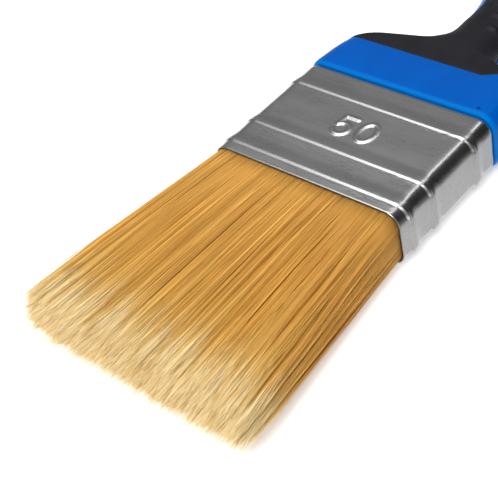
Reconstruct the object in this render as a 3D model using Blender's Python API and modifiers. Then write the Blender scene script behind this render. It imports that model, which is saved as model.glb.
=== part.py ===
"""Flat 50 mm brush with a beaded steel ferrule and a two-material plastic handle.

Run with: blender --background --python part.py

Metres, +Z up. The brush lies flat on its rear face: X runs across its width, Y runs along it from the
filament tips towards the hanging hole, and Z is its thickness. The origin is under the middle of the brush,
in the plane that it rests on. Every lengthwise size below is counted from the ferrule's mouth, where the
filaments come out: tips are at negative values, the handle is at positive ones.
"""

import math

import bmesh
import bpy
import numpy as np
from mathutils import Vector

# Ferrule: a strip of stainless steel folded into a flat tube, with three rolled beads.
FERRULE_WIDTH = 0.0500
FERRULE_THICKNESS = 0.0140
FERRULE_LENGTH = 0.0340
FERRULE_CORNER = 0.0034
FERRULE_WALL = 0.00035
BEAD_PLACES = (0.0028, 0.0104, 0.0262)
BEAD_WIDTH = 0.0030
BEAD_HEIGHT = 0.0004
CRIMP_LENGTH = 0.0016
CRIMP_DEPTH = 0.00035

# Size mark on the front of the ferrule: the width in millimetres, pressed out from inside.
MARK_CENTRE = (0.0003, 0.0186)
MARK_HEIGHT = 0.0059
MARK_SPACING = 0.0058
MARK_STROKE = 0.00035

# Filaments, spacers and the resin that sets their butts.
FILAMENT_LENGTH = 0.0575
FILAMENT_BUTT = 0.0090
TIP_HALF_WIDTH = 0.0305
SPACER_THICKNESS = 0.0016
SPACER_LENGTH = 0.0095
SPACER_RECESS = 0.0025
RESIN_END = 0.0150

# Handle: a hard core with a tang in the ferrule, and two soft panels moulded into it.
HANDLE_LENGTH = 0.1485
LIP_HALF_THICKNESS = 0.0074
TANG_START = 0.0160
TANG_POCKETS = 3
TANG_POCKET_DEPTH = 0.0140
TANG_RIB = 0.0022
GRIP_THICKNESS = 0.0016
GRIP_START = 0.0466
GRIP_END = 0.1610
GRIP_ROUND = 0.0090
GRIP_NARROWS = (0.0620, 0.0760)
GRIP_SHARES = (0.965, 0.660)
GRIP_CHAMFER = (0.0140, 0.0200, 0.0506)
RIB_FIRST = 0.0662
RIB_PITCH = 0.0046
RIB_COUNT = 5
RIB_SET_OVER = 0.0030
RIB_HEIGHT = 0.00045
HANG_HOLE_RADIUS = 0.0045
HANG_HOLE_INSET = 0.0125

GAP = 0.0003
REST_HEIGHT = LIP_HALF_THICKNESS
OVERALL_LENGTH = FILAMENT_LENGTH + FERRULE_LENGTH + HANDLE_LENGTH
MOUTH_Y = FILAMENT_LENGTH - OVERALL_LENGTH / 2

# Handle stations: place, half width, half thickness, the two half axes of the section's round corners, how far
# the section's middle hangs below the brush's middle plane, and how far it is set over towards +X.
HANDLE_STATIONS = np.array(
    [
        (FERRULE_LENGTH + GAP, 0.0248, 0.0070, 0.0034, 0.0034, 0.0, 0.0),
        (0.0350, 0.0253, LIP_HALF_THICKNESS, 0.0038, 0.0037, 0.0, 0.0),
        (0.0375, 0.0251, LIP_HALF_THICKNESS, 0.0038, 0.0037, 0.0, 0.0),
        (0.0460, 0.0242, 0.0070, 0.0040, 0.0038, 0.0, 0.0),
        (0.0485, 0.0236, 0.0069, 0.0044, 0.0041, 0.0, 0.0),
        (0.0508, 0.0212, 0.0067, 0.0048, 0.0043, 0.0, 0.0),
        (0.0530, 0.0168, 0.0065, 0.0052, 0.0044, 0.0002, 0.0002),
        (0.0554, 0.0119, 0.0063, 0.0056, 0.0047, 0.0005, 0.0005),
        (0.0592, 0.0089, 0.00585, 0.0062, 0.0050, 0.00075, 0.0010),
        (0.0700, 0.0074, 0.0053, 0.0066, 0.0049, 0.0007, 0.0014),
        (0.0840, 0.0092, 0.0061, 0.0082, 0.0057, 0.0003, 0.0010),
        (0.1020, 0.0125, 0.0071, 0.0112, 0.0066, 0.0, 0.0003),
        (0.1180, 0.0136, 0.00735, 0.0122, 0.0068, 0.0, 0.0),
        (0.1380, 0.0126, 0.0069, 0.0112, 0.0062, 0.0, 0.0),
        (0.1600, 0.0107, 0.0058, 0.0094, 0.0050, 0.0, 0.0),
        (0.1740, 0.0101, 0.0052, 0.0088, 0.0044, 0.0, 0.0),
    ]
)
HANDLE_END = FERRULE_LENGTH + HANDLE_LENGTH
END_ROUND = HANDLE_END - HANDLE_STATIONS[-1, 0]

CORNER_STEPS = 5

PARTS = "flat_brush"
CUTTERS = "cutters"


def clear_scene():
    for obj in list(bpy.data.objects):
        bpy.data.objects.remove(obj)
    for name in (PARTS, CUTTERS):
        bpy.context.scene.collection.children.link(bpy.data.collections.new(name))


def material(name, colour, roughness, metallic=0.0):
    made = bpy.data.materials.new(name)
    made.use_nodes = True
    shader = made.node_tree.nodes["Principled BSDF"]
    shader.inputs["Base Color"].default_value = (*colour, 1.0)
    shader.inputs["Roughness"].default_value = roughness
    shader.inputs["Metallic"].default_value = metallic
    return made


def object_from(name, mesh, finish=None, collection=PARTS):
    obj = bpy.data.objects.new(name, mesh)
    bpy.data.collections[collection].objects.link(obj)
    if finish:
        mesh.materials.append(finish)
    if collection == CUTTERS:
        obj.hide_render = True
        obj.display_type = "WIRE"
    obj.location = (0.0, MOUTH_Y, REST_HEIGHT)
    return obj


def shade(obj, angle=35.0):
    obj.data.shade_smooth()
    obj.data.set_sharp_from_angle(angle=math.radians(angle))


def rounded_section(half_width, low, high, radii_low, radii_high):
    """Points round a box section from z low to z high. Each radius is a corner's (x, z) half axes."""
    corners = (
        (1, high, radii_high, 0),
        (-1, high, radii_high, 90),
        (-1, low, radii_low, 180),
        (1, low, radii_low, 270),
    )
    points = []
    for side, level, (radius_x, radius_z), start in corners:
        inward = -1 if level == high else 1
        centre_x = side * (half_width - radius_x)
        centre_z = level + inward * radius_z
        for step in range(CORNER_STEPS + 1):
            angle = math.radians(start + 90 * step / CORNER_STEPS)
            points.append((centre_x + radius_x * math.cos(angle), centre_z + radius_z * math.sin(angle)))
    return points


def even_section(half_width, half_thickness, radius):
    """A section that is the same above and below the middle plane."""
    pair = (radius, radius)
    return rounded_section(half_width, -half_thickness, half_thickness, pair, pair)


def loft(rings, capped=True):
    """A mesh through rings of points. Each ring is (place along Y, points as x and z)."""
    bm = bmesh.new()
    rows = [[bm.verts.new((x, place, z)) for x, z in points] for place, points in rings]
    count = len(rows[0])
    for before, after in zip(rows, rows[1:]):
        for i in range(count):
            j = (i + 1) % count
            bm.faces.new((before[i], before[j], after[j], after[i]))
    if capped:
        bm.faces.new(rows[0])
        bm.faces.new(rows[-1])
    bmesh.ops.remove_doubles(bm, verts=bm.verts, dist=1e-7)
    bmesh.ops.recalc_face_normals(bm, faces=bm.faces)
    mesh = bpy.data.meshes.new("loft")
    bm.to_mesh(mesh)
    bm.free()
    return mesh


def box(name, size, centre, finish=None, collection=PARTS, bevel=0.0):
    bm = bmesh.new()
    bmesh.ops.create_cube(bm, size=1.0)
    bmesh.ops.scale(bm, vec=size, verts=bm.verts)
    bmesh.ops.translate(bm, vec=centre, verts=bm.verts)
    if bevel:
        bmesh.ops.bevel(bm, geom=bm.edges, offset=bevel, segments=2, affect="EDGES", profile=0.5)
    mesh = bpy.data.meshes.new(name)
    bm.to_mesh(mesh)
    bm.free()
    return object_from(name, mesh, finish, collection)


def boolean(obj, other, operation):
    modifier = obj.modifiers.new(operation.lower(), "BOOLEAN")
    modifier.operation = operation
    modifier.object = other
    modifier.solver = "EXACT"


def solidify(obj, thickness, offset=-1.0):
    modifier = obj.modifiers.new("wall", "SOLIDIFY")
    modifier.thickness = thickness
    modifier.offset = offset
    modifier.use_even_offset = True
    modifier.use_quality_normals = True


def bead(distance):
    """Height of a rolled bead at this distance from its crest: one hump of a raised cosine."""
    share = abs(distance) / (BEAD_WIDTH / 2)
    return BEAD_HEIGHT * 0.5 * (1 + math.cos(math.pi * share)) if share < 1 else 0.0


def ferrule_offset(place):
    """How far the ferrule's wall stands out from, or in from, the plain tube at this place."""
    crimp = max(0.0, (place - (FERRULE_LENGTH - CRIMP_LENGTH)) / CRIMP_LENGTH)
    return sum(bead(place - crest) for crest in BEAD_PLACES) - CRIMP_DEPTH * crimp


def mark_curve(name, points, cyclic):
    """A stroke of the size mark: a round wire lying half sunk in the ferrule's front wall."""
    curve = bpy.data.curves.new(name, "CURVE")
    curve.dimensions = "3D"
    curve.bevel_depth = MARK_STROKE
    curve.bevel_resolution = 1
    curve.use_fill_caps = True
    spline = curve.splines.new("POLY")
    spline.points.add(len(points) - 1)
    level = FERRULE_THICKNESS / 2 - 0.00004
    for point, (x, y) in zip(spline.points, points):
        point.co = (MARK_CENTRE[0] + x, MARK_CENTRE[1] + y, level, 1.0)
    spline.use_cyclic_u = cyclic
    obj = bpy.data.objects.new(name, curve)
    bpy.data.collections[CUTTERS].objects.link(obj)
    obj.location = (0.0, MOUTH_Y, REST_HEIGHT)
    bpy.context.view_layer.update()
    graph = bpy.context.evaluated_depsgraph_get()
    mesh = bpy.data.meshes.new_from_object(obj.evaluated_get(graph))
    bpy.data.objects.remove(obj)
    bm = bmesh.new()
    bm.from_mesh(mesh)
    bmesh.ops.remove_doubles(bm, verts=bm.verts, dist=1e-6)
    bmesh.ops.recalc_face_normals(bm, faces=bm.faces)
    bm.to_mesh(mesh)
    bm.free()
    return object_from(name, mesh, collection=CUTTERS)


def size_mark():
    """The digits 5 and 0: straight strokes joined by arcs, and an ellipse."""
    half = MARK_HEIGHT / 2
    digit_half_width = 0.30 * MARK_HEIGHT
    digit_shift = MARK_SPACING / 2
    bowl_radius = 0.31 * MARK_HEIGHT
    bowl_y = -half + bowl_radius
    five = [(digit_half_width, half), (-digit_half_width * 0.8, half), (-digit_half_width, bowl_y + 0.6 * bowl_radius)]
    for degrees in range(130, -141, -30):
        angle = math.radians(degrees)
        five.append((bowl_radius * math.cos(angle) * 0.95, bowl_y + bowl_radius * math.sin(angle)))
    five = [(x - digit_shift, y) for x, y in five]
    zero = []
    for step in range(16):
        angle = 2 * math.pi * step / 16
        zero.append((digit_shift + digit_half_width * math.cos(angle), half * math.sin(angle)))
    return [mark_curve("mark_five", five, False), mark_curve("mark_zero", zero, True)]


def make_ferrule(finish):
    places = {0.0, FERRULE_LENGTH - CRIMP_LENGTH, FERRULE_LENGTH}
    for crest in BEAD_PLACES:
        places |= {crest + BEAD_WIDTH / 2 * share for share in (-1, -0.6, -0.3, 0, 0.3, 0.6, 1)}
    rings = []
    for place in sorted(p for p in places if p >= 0):
        out = ferrule_offset(place)
        half_width = FERRULE_WIDTH / 2 + out
        half_thickness = FERRULE_THICKNESS / 2 + out
        rings.append((place, even_section(half_width, half_thickness, FERRULE_CORNER + out)))
    obj = object_from("ferrule", loft(rings, capped=False), finish)
    solidify(obj, FERRULE_WALL)
    for stroke in size_mark():
        boolean(obj, stroke, "UNION")
    shade(obj, 50)
    return obj


# The filament mat's outline: place, half width, half thickness, corner radius. It swells a little past the
# mouth, fans out sideways, and is trimmed to a blunt chisel at the tips.
INNER_HALF_WIDTH = FERRULE_WIDTH / 2 - FERRULE_WALL - GAP
INNER_HALF_THICKNESS = FERRULE_THICKNESS / 2 - FERRULE_WALL - GAP
MAT_STATIONS = np.array(
    [
        (FILAMENT_BUTT, INNER_HALF_WIDTH, INNER_HALF_THICKNESS, 0.0028),
        (SPACER_RECESS, INNER_HALF_WIDTH, INNER_HALF_THICKNESS, 0.0028),
        (-0.0006, INNER_HALF_WIDTH, INNER_HALF_THICKNESS, 0.0028),
        (-0.0050, 0.0248, 0.0066, 0.0030),
        (-0.0160, 0.0260, 0.0067, 0.0032),
        (-0.0300, 0.0275, 0.0062, 0.0032),
        (-0.0430, 0.0290, 0.0053, 0.0030),
        (-0.0520, 0.0299, 0.0044, 0.0026),
        (-FILAMENT_LENGTH, TIP_HALF_WIDTH, 0.0036, 0.0022),
    ]
)
# Each bank's share of the mat's thickness, from the rear face up.
BANKS = {"rear_filament_bank": (0, 1), "middle_filament_bank": (1, 2), "front_filament_bank": (2, 3)}


def split_level(place, half_thickness, index):
    """Height of the lower face of bank number index, and of the upper face of the bank below it."""
    open_gap = SPACER_THICKNESS + 2 * GAP
    closing = min(1.0, max(0.0, (SPACER_RECESS - GAP - place) / 0.012))
    gap = open_gap + (GAP - open_gap) * closing
    bank = (2 * half_thickness - 2 * gap) / 3
    low = -half_thickness + index * (bank + gap)
    return low, low + bank


def make_banks(finish):
    """Three banks of filaments, one either side of each spacer and one between them."""
    tiny = 0.0002
    for name, (index, after) in BANKS.items():
        rings = []
        for place, half_width, half_thickness, corner in MAT_STATIONS:
            low, high = split_level(place, half_thickness, index)
            round_low = (corner, min(corner, 0.8 * (high - low))) if index == 0 else (tiny, tiny)
            round_high = (corner, min(corner, 0.8 * (high - low))) if after == len(BANKS) else (tiny, tiny)
            rings.append((place, rounded_section(half_width, low, high, round_low, round_high)))
        shade(object_from(name, loft(rings), finish))


def spacer_levels():
    """Middle heights of the two gaps that the spacers fill."""
    lower = [split_level(FILAMENT_BUTT, INNER_HALF_THICKNESS, index) for index in range(3)]
    return [(lower[i][1] + lower[i + 1][0]) / 2 for i in range(2)]


def make_spacers(finish):
    width = 2 * INNER_HALF_WIDTH - 0.004
    middle = SPACER_RECESS + SPACER_LENGTH / 2
    for name, level in zip(("rear_spacer", "front_spacer"), spacer_levels()):
        size = (width, SPACER_LENGTH, SPACER_THICKNESS)
        box(name, size, (0.0, middle, level), finish, bevel=0.0002)


def make_resin(finish):
    """The set resin behind the butts, with a pocket round each spacer's end."""
    start = FILAMENT_BUTT + GAP
    ring = even_section(INNER_HALF_WIDTH, INNER_HALF_THICKNESS, 0.0028)
    obj = object_from("resin_set", loft([(start, ring), (RESIN_END, ring)]), finish)
    reach = SPACER_RECESS + SPACER_LENGTH + GAP
    width = 2 * INNER_HALF_WIDTH - 0.004 + 2 * GAP
    for number, level in enumerate(spacer_levels()):
        size = (width, reach - start + 0.002, SPACER_THICKNESS + 2 * GAP)
        centre = (0.0, (reach + start - 0.002) / 2, level)
        boolean(obj, box(f"resin_pocket_{number}", size, centre, collection=CUTTERS), "DIFFERENCE")
    shade(obj)


def handle_station(place):
    """Half width, half thickness, corner half axes, drop and shift of the handle's section, by a smooth cubic."""
    table = HANDLE_STATIONS
    places = table[:, 0]
    slopes = np.gradient(table[:, 1:], places, axis=0)
    i = int(np.clip(np.searchsorted(places, place) - 1, 0, len(places) - 2))
    span = places[i + 1] - places[i]
    t = min(1.0, max(0.0, (place - places[i]) / span))
    values = (
        (2 * t**3 - 3 * t**2 + 1) * table[i, 1:]
        + (t**3 - 2 * t**2 + t) * span * slopes[i]
        + (3 * t**2 - 2 * t**3) * table[i + 1, 1:]
        + (t**3 - t**2) * span * slopes[i + 1]
    )
    over = max(0.0, (place - places[-1]) / END_ROUND)
    shrink = math.sqrt(max(0.0, 1 - over**2))
    half_width, half_thickness, corner_x, corner_z, drop, shift = values
    half_width *= shrink
    half_thickness *= 0.4 + 0.6 * shrink
    return half_width, half_thickness, min(corner_x, half_width), min(corner_z, half_thickness), drop, shift


def handle_skin(x, place, side):
    """Distance of the handle's outside from the middle plane at x, on the front (side 1) or the rear (-1)."""
    half_width, half_thickness, corner_x, corner_z, drop, shift = handle_station(place)
    over = max(0.0, abs(x - side * shift) - (half_width - corner_x)) / corner_x
    return half_thickness - side * drop - corner_z + corner_z * math.sqrt(max(0.0, 1 - over**2))


def grip_edges(place, side):
    """Left and right edges of a soft panel at this place. Its lower right corner is cut away."""
    half_width, shift = handle_station(place)[0], handle_station(place)[-1] * side
    begin, end = GRIP_NARROWS
    narrowing = min(1.0, max(0.0, (place - begin) / (end - begin)))
    narrowing = narrowing**2 * (3 - 2 * narrowing)
    edge = half_width * (GRIP_SHARES[0] + (GRIP_SHARES[1] - GRIP_SHARES[0]) * narrowing)
    over = min(1.0, max(0.0, (place - (GRIP_END - GRIP_ROUND)) / GRIP_ROUND))
    edge *= math.sqrt(max(0.03, 1 - over**2))
    cut_x, cut_end_x, cut_end = GRIP_CHAMFER
    cut = cut_x + (cut_end_x - cut_x) * (place - GRIP_START) / (cut_end - GRIP_START)
    return shift - edge, min(shift + edge, cut)


def rib_height(x, place, side):
    """Cross ribs on the neck: trapezoid ridges that get longer towards the grip. The first ones are set over
    to one side."""
    number = round((place - RIB_FIRST) / RIB_PITCH)
    if not 0 <= number < RIB_COUNT:
        return 0.0
    reach = min(0.0040, 0.0016 + 0.0010 * number)
    share = min(1.0, max(0.0, (place - RIB_FIRST) / 0.0100))
    set_over = RIB_SET_OVER * (1 - share**2 * (3 - 2 * share))
    away = abs(x - side * handle_station(place)[-1] - set_over)
    across = min(1.0, max(0.0, (reach - away) / 0.0008))
    along = min(1.0, max(0.0, (0.0010 - abs(place - RIB_FIRST - number * RIB_PITCH)) / 0.0005))
    return RIB_HEIGHT * across * along


def grip_surface(side, margin, with_ribs):
    """One panel's outer face as an open sheet, grown by margin on every side. The rear one (side -1) is made
    face up and turned over afterwards."""
    places = {GRIP_START, GRIP_CHAMFER[2], GRIP_END}
    places |= set(np.linspace(GRIP_START + 0.0015, 0.0645, 10))
    places |= set(np.linspace(0.0885, GRIP_END - GRIP_ROUND, 9))
    places |= {GRIP_END - GRIP_ROUND * (1 - share) for share in (0.4, 0.7, 0.9)}
    for number in range(RIB_COUNT):
        crest = RIB_FIRST + number * RIB_PITCH
        places |= {crest + step for step in ((-0.0010, -0.0005, 0.0005, 0.0010) if with_ribs else (0.0,))}
    columns = 10
    rows = []
    for place in sorted(places):
        left, right = grip_edges(place, side)
        row_place = place
        if place == GRIP_START:
            row_place -= margin
        if place == GRIP_END:
            row_place += margin
        row = []
        for column in range(columns + 1):
            share = 0.5 - 0.5 * math.cos(math.pi * column / columns)
            share = 0.5 * share + 0.5 * column / columns
            x = left - margin + (right - left + 2 * margin) * share
            height = handle_skin(x, place, side) + (rib_height(x, place, side) if with_ribs else 0.0)
            row.append((x, row_place, height))
        rows.append(row)
    bm = bmesh.new()
    grid = [[bm.verts.new(point) for point in row] for row in rows]
    for before, after in zip(grid, grid[1:]):
        for i in range(columns):
            bm.faces.new((before[i], before[i + 1], after[i + 1], after[i]))
    mesh = bpy.data.meshes.new("grip")
    bm.to_mesh(mesh)
    bm.free()
    return mesh


def make_grips(finish):
    """The front panel, and the rear one, turned half round the brush's length."""
    for name, side in (("front_grip", 1), ("rear_grip", -1)):
        obj = object_from(name, grip_surface(side, 0.0, True), finish)
        if side < 0:
            obj.rotation_euler = (0.0, math.pi, 0.0)
        solidify(obj, GRIP_THICKNESS)
        shade(obj)


def grip_cutter(name, side):
    """A thicker, slightly larger panel, which leaves a recess with a gap all round."""
    outside = 0.0012
    inside = GRIP_THICKNESS + GAP
    obj = object_from(name, grip_surface(side, GAP, False), collection=CUTTERS)
    if side < 0:
        obj.rotation_euler = (0.0, math.pi, 0.0)
    solidify(obj, outside + inside, 2 * outside / (outside + inside) - 1)
    return obj


def make_handle(finish):
    """The hard core: shoulder, neck and grip in one, with a ribbed tang that goes into the ferrule."""
    places = set(HANDLE_STATIONS[:, 0])
    places |= {0.0472, 0.0497, 0.0519, 0.0542, 0.0572}
    places |= set(np.linspace(0.0650, HANDLE_STATIONS[-1, 0], 14))
    places |= {HANDLE_STATIONS[-1, 0] + END_ROUND * math.sin(math.radians(degrees)) for degrees in range(15, 86, 14)}
    rings = []
    for place in sorted(places):
        half_width, half_thickness, corner_x, corner_z, drop, shift = handle_station(place)
        pair = (corner_x, corner_z)
        ring = rounded_section(half_width, -half_thickness - drop, half_thickness - drop, pair, pair)
        rings.append((place, [(x + shift, z) for x, z in ring]))
    obj = object_from("handle_core", loft(rings), finish)

    clearance = FERRULE_WALL + CRIMP_DEPTH + GAP
    tang_half_width = FERRULE_WIDTH / 2 - clearance
    tang_half_thickness = FERRULE_THICKNESS / 2 - clearance
    ring = even_section(tang_half_width, tang_half_thickness, 0.0026)
    tang = object_from("tang", loft([(TANG_START, ring), (0.0380, ring)]), collection=CUTTERS)
    boolean(obj, tang, "UNION")

    pocket_width = (2 * tang_half_width - (TANG_POCKETS + 1) * TANG_RIB) / TANG_POCKETS
    pocket_height = 2 * (tang_half_thickness - TANG_RIB)
    for number in range(TANG_POCKETS):
        x = (number - (TANG_POCKETS - 1) / 2) * (pocket_width + TANG_RIB)
        size = (pocket_width, TANG_POCKET_DEPTH + 0.002, pocket_height)
        centre = (x, TANG_START + (TANG_POCKET_DEPTH - 0.002) / 2, 0.0)
        cutter = box(f"tang_pocket_{number}", size, centre, collection=CUTTERS)
        boolean(obj, cutter, "DIFFERENCE")

    boolean(obj, grip_cutter("front_recess", 1), "DIFFERENCE")
    boolean(obj, grip_cutter("rear_recess", -1), "DIFFERENCE")

    bm = bmesh.new()
    bmesh.ops.create_cone(
        bm, cap_ends=True, segments=32, radius1=HANG_HOLE_RADIUS, radius2=HANG_HOLE_RADIUS, depth=0.03
    )
    bmesh.ops.translate(bm, vec=Vector((0.0, HANDLE_END - HANG_HOLE_INSET, 0.0)), verts=bm.verts)
    mesh = bpy.data.meshes.new("hang_hole")
    bm.to_mesh(mesh)
    bm.free()
    boolean(obj, object_from("hang_hole", mesh, collection=CUTTERS), "DIFFERENCE")
    shade(obj)


def main():
    clear_scene()
    steel = material("brushed_steel", (0.56, 0.56, 0.56), 0.28, 1.0)
    filament = material("golden_filament", (0.60, 0.36, 0.11), 0.45)
    spacer = material("spacer_board", (0.45, 0.36, 0.26), 0.8)
    resin = material("clear_resin", (0.50, 0.42, 0.28), 0.2)
    blue = material("blue_plastic", (0.0, 0.10, 0.50), 0.35)
    black = material("black_soft_grip", (0.030, 0.030, 0.034), 0.6)
    make_ferrule(steel)
    make_banks(filament)
    make_spacers(spacer)
    make_resin(resin)
    make_handle(blue)
    make_grips(black)


main()
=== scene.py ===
"""A flat brush, 50 mm wide: golden filaments, a beaded steel ferrule and a blue handle with black soft grips.

The sections follow the brush as it is put together: ferrule, filaments, spacers and resin, handle core and
soft grips. The floor, the lights and the camera come last. Lengths are in metres. A "place" is counted along
the brush from the ferrule's mouth: the filaments lie at negative places and the handle at positive ones.
"""

import math

import bmesh
import bpy
import numpy as np
from mathutils import Matrix, Vector


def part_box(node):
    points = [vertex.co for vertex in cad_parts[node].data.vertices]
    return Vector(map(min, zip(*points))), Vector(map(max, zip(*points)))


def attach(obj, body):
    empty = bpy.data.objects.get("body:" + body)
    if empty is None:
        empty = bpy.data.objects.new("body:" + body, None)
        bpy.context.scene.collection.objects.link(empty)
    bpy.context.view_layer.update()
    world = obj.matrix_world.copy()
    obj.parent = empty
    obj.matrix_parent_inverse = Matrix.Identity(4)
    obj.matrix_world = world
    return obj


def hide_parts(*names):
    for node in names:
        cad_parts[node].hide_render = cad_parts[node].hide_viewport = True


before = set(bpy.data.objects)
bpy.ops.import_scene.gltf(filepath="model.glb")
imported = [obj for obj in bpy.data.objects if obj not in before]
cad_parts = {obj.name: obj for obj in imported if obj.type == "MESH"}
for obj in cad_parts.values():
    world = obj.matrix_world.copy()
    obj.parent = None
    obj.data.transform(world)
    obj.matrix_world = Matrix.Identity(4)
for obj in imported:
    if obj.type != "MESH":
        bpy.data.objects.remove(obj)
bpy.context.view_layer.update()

# ---------------------------------------------------------------------------------------------------------
# Ferrule. A strip of stainless steel folded into a flat tube, with a butt seam down its rear face. Three
# beads are rolled into it to stiffen it, its width in millimetres is pressed out of the front face from
# inside, and the end nearest the handle is drawn in a little under the plastic lip.

ferrule_low, ferrule_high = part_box("ferrule")
MOUTH = ferrule_low.y
MIDDLE = (ferrule_low.z + ferrule_high.z) / 2
FERRULE_HALF_WIDTH = 0.0250
FERRULE_HALF_THICKNESS = 0.0070
FERRULE_CORNER = 0.0034
FERRULE_LENGTH = ferrule_high.y - ferrule_low.y
WALL = 0.00035
BEAD_FRONTS = (0.0024, 0.0100, 0.0258)
BEAD_SWELL = (0.0020, 0.00003)
BEAD_EDGE = (0.0009, 0.000138)
BEAD_FALL = 0.0034
SIDE_BEAD_GAIN = 3.4
CREASE_BEHIND, CREASE_WIDTH, CREASE_DEPTH = 0.0013, 0.00028, 0.00016
REAR_DRAW_START, REAR_DRAW_LENGTH, REAR_DRAW_DEPTH = 0.0008, 0.0007, 0.00030
SEAM_WIDTH, SEAM_DEPTH = 0.00012, 0.00016
NICK_COUNT, NICK_SEED = 90, 7
NICK_DEPTHS, NICK_WIDTHS = (0.000004, 0.000022), (0.00015, 0.00050)
MARK_HALF_STROKE, MARK_HEIGHT = 0.00098, 0.00023
MARK_HALF_SPAN, MARK_START, MARK_END = 0.0075, 0.0138, 0.0232
FIVE_CORNERS = ((-0.0009, 0.02145), (-0.0040, 0.02145), (-0.0043, 0.0188))
FIVE_BOWL = (-0.0028, 0.0173, 0.00195, 0.00185, 140, -150)
ZERO_RING = (0.00345, 0.0186, 0.0020, 0.0030, 0, 360)


def quarter_turns(angles, corner_x, corner_z, radius_x, radius_z):
    """Points and normals of an elliptical arc: centre plus each radius times the angle's cosine or sine."""
    x, z = corner_x + radius_x * np.cos(angles), corner_z + radius_z * np.sin(angles)
    normal = np.stack([np.cos(angles) / radius_x, np.sin(angles) / radius_z], axis=1)
    return np.stack([x, z], axis=1), normal / np.linalg.norm(normal, axis=1, keepdims=True)


def tube_outline(top_x, bottom_x, side_z, corner_steps):
    """A rounded rectangle as points and normals, round from the front face's right corner: a quarter circle,
    then a flat, four times over."""
    half_x, half_z, r = FERRULE_HALF_WIDTH, FERRULE_HALF_THICKNESS, FERRULE_CORNER
    turn = np.linspace(0, math.pi / 2, corner_steps + 1)[1:-1]
    signs = ((1, 1), (-1, 1), (-1, -1), (1, -1))
    flats = (top_x[::-1], side_z[::-1], bottom_x, side_z)
    levels = (half_z, -half_x, -half_z, half_x)
    points, normals = [], []
    for number, (sign_x, sign_z) in enumerate(signs):
        angles = turn + number * math.pi / 2
        arc, arc_normal = quarter_turns(angles, sign_x * (half_x - r), sign_z * (half_z - r), r, r)
        along = number % 2
        flat = np.zeros((len(flats[number]), 2))
        flat[:, along] = flats[number]
        flat[:, 1 - along] = levels[number]
        flat_normal = np.zeros_like(flat)
        flat_normal[:, 1 - along] = np.sign(levels[number])
        points += [arc, flat]
        normals += [arc_normal, flat_normal]
    return np.concatenate(points), np.concatenate(normals)


def smooth_step(value):
    """0 below 0, 1 above 1, and three v squared less two v cubed between."""
    v = np.clip(value, 0, 1)
    return v * v * (3 - 2 * v)


def bead_height(place):
    """The sum of three beads, each a slight swell, then the short crisp edge that the roller leaves, then a
    long smooth fall. Each of them is a height times a smooth step."""
    height = np.zeros_like(place)
    swell_length, swell_height = BEAD_SWELL
    edge_length, edge_height = BEAD_EDGE
    for front in BEAD_FRONTS:
        swell = swell_height * smooth_step((place - front + swell_length) / swell_length)
        edge = edge_height * smooth_step((place - front) / edge_length)
        height += (swell + edge) * (1 - smooth_step((place - front - edge_length) / BEAD_FALL))
    return height


def crease(place):
    """A narrow bell behind each bead, 1 in the line that the roller leaves there and 0 elsewhere."""
    return sum(np.exp(-(((place - front - CREASE_BEHIND) / CREASE_WIDTH) ** 2)) for front in BEAD_FRONTS)


def arc_path(centre_x, centre_y, radius_x, radius_y, start, end, steps):
    """Points round an ellipse between two angles in degrees: centre plus radius times cosine or sine."""
    angles = np.radians(np.linspace(start, end, steps))
    return np.stack([centre_x + radius_x * np.cos(angles), centre_y + radius_y * np.sin(angles)], axis=1)


def straight_path(start, end, steps=40):
    """Evenly spaced points: the start times one less the share of the way, plus the end times the share."""
    share = np.linspace(0, 1, steps)[:, None]
    return np.array(start) * (1 - share) + np.array(end) * share


def mark_relief(x, place):
    """Height of the pressed 5 and 0: half a cosine wave of the distance to their strokes' middle line."""
    top_right, top_left, stem_foot = FIVE_CORNERS
    five = [straight_path(top_right, top_left), straight_path(top_left, stem_foot), arc_path(*FIVE_BOWL, 90)]
    zero = [arc_path(*ZERO_RING, 180)]
    line = np.concatenate(five + zero)
    near = (np.abs(x) < MARK_HALF_SPAN) & (place > MARK_START) & (place < MARK_END)
    gap_x = x[near][:, None] - line[None, :, 0]
    gap_y = place[near][:, None] - line[None, :, 1]
    gap = np.hypot(gap_x, gap_y).min(axis=1)
    relief = np.zeros_like(x)
    relief[near] = MARK_HEIGHT * 0.5 * (1 + np.cos(np.pi * np.clip(gap / MARK_HALF_STROKE, 0, 1)))
    return relief


def nicks(x, place):
    """Shallow nicks along the beads, more of them to the right: each is a bell, 2.2 times as wide as long."""
    chance = np.random.default_rng(NICK_SEED)
    centre_x = 0.0220 - np.abs(chance.normal(0, 0.0060, NICK_COUNT))
    bead = np.array(BEAD_FRONTS)[chance.integers(0, 3, NICK_COUNT)]
    centre_place = bead + chance.normal(-0.0004, 0.0007, NICK_COUNT)
    depth = chance.uniform(*NICK_DEPTHS, NICK_COUNT)
    width = chance.uniform(*NICK_WIDTHS, NICK_COUNT)
    total = np.zeros_like(x)
    for i in range(NICK_COUNT):
        apart = ((x - centre_x[i]) / (2.2 * width[i])) ** 2 + ((place - centre_place[i]) / width[i]) ** 2
        total -= depth[i] * np.exp(-apart)
    return total


def mesh_from_arrays(name, points, *face_blocks):
    """A mesh from an array of points and arrays of faces, each array with its own number of corners."""
    mesh = bpy.data.meshes.new(name)
    mesh.vertices.add(len(points))
    mesh.vertices.foreach_set("co", np.ascontiguousarray(points, np.float32).ravel())
    corners = np.concatenate([block.ravel() for block in face_blocks]).astype(np.int32)
    sizes = np.concatenate([np.full(len(block), block.shape[1], np.int32) for block in face_blocks])
    mesh.loops.add(len(corners))
    mesh.loops.foreach_set("vertex_index", corners)
    mesh.polygons.add(len(sizes))
    mesh.polygons.foreach_set("loop_start", np.concatenate([[0], np.cumsum(sizes)[:-1]]).astype(np.int32))
    mesh.update(calc_edges=True)
    mesh.polygons.foreach_set("use_smooth", np.ones(len(sizes), bool))
    return mesh


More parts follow.
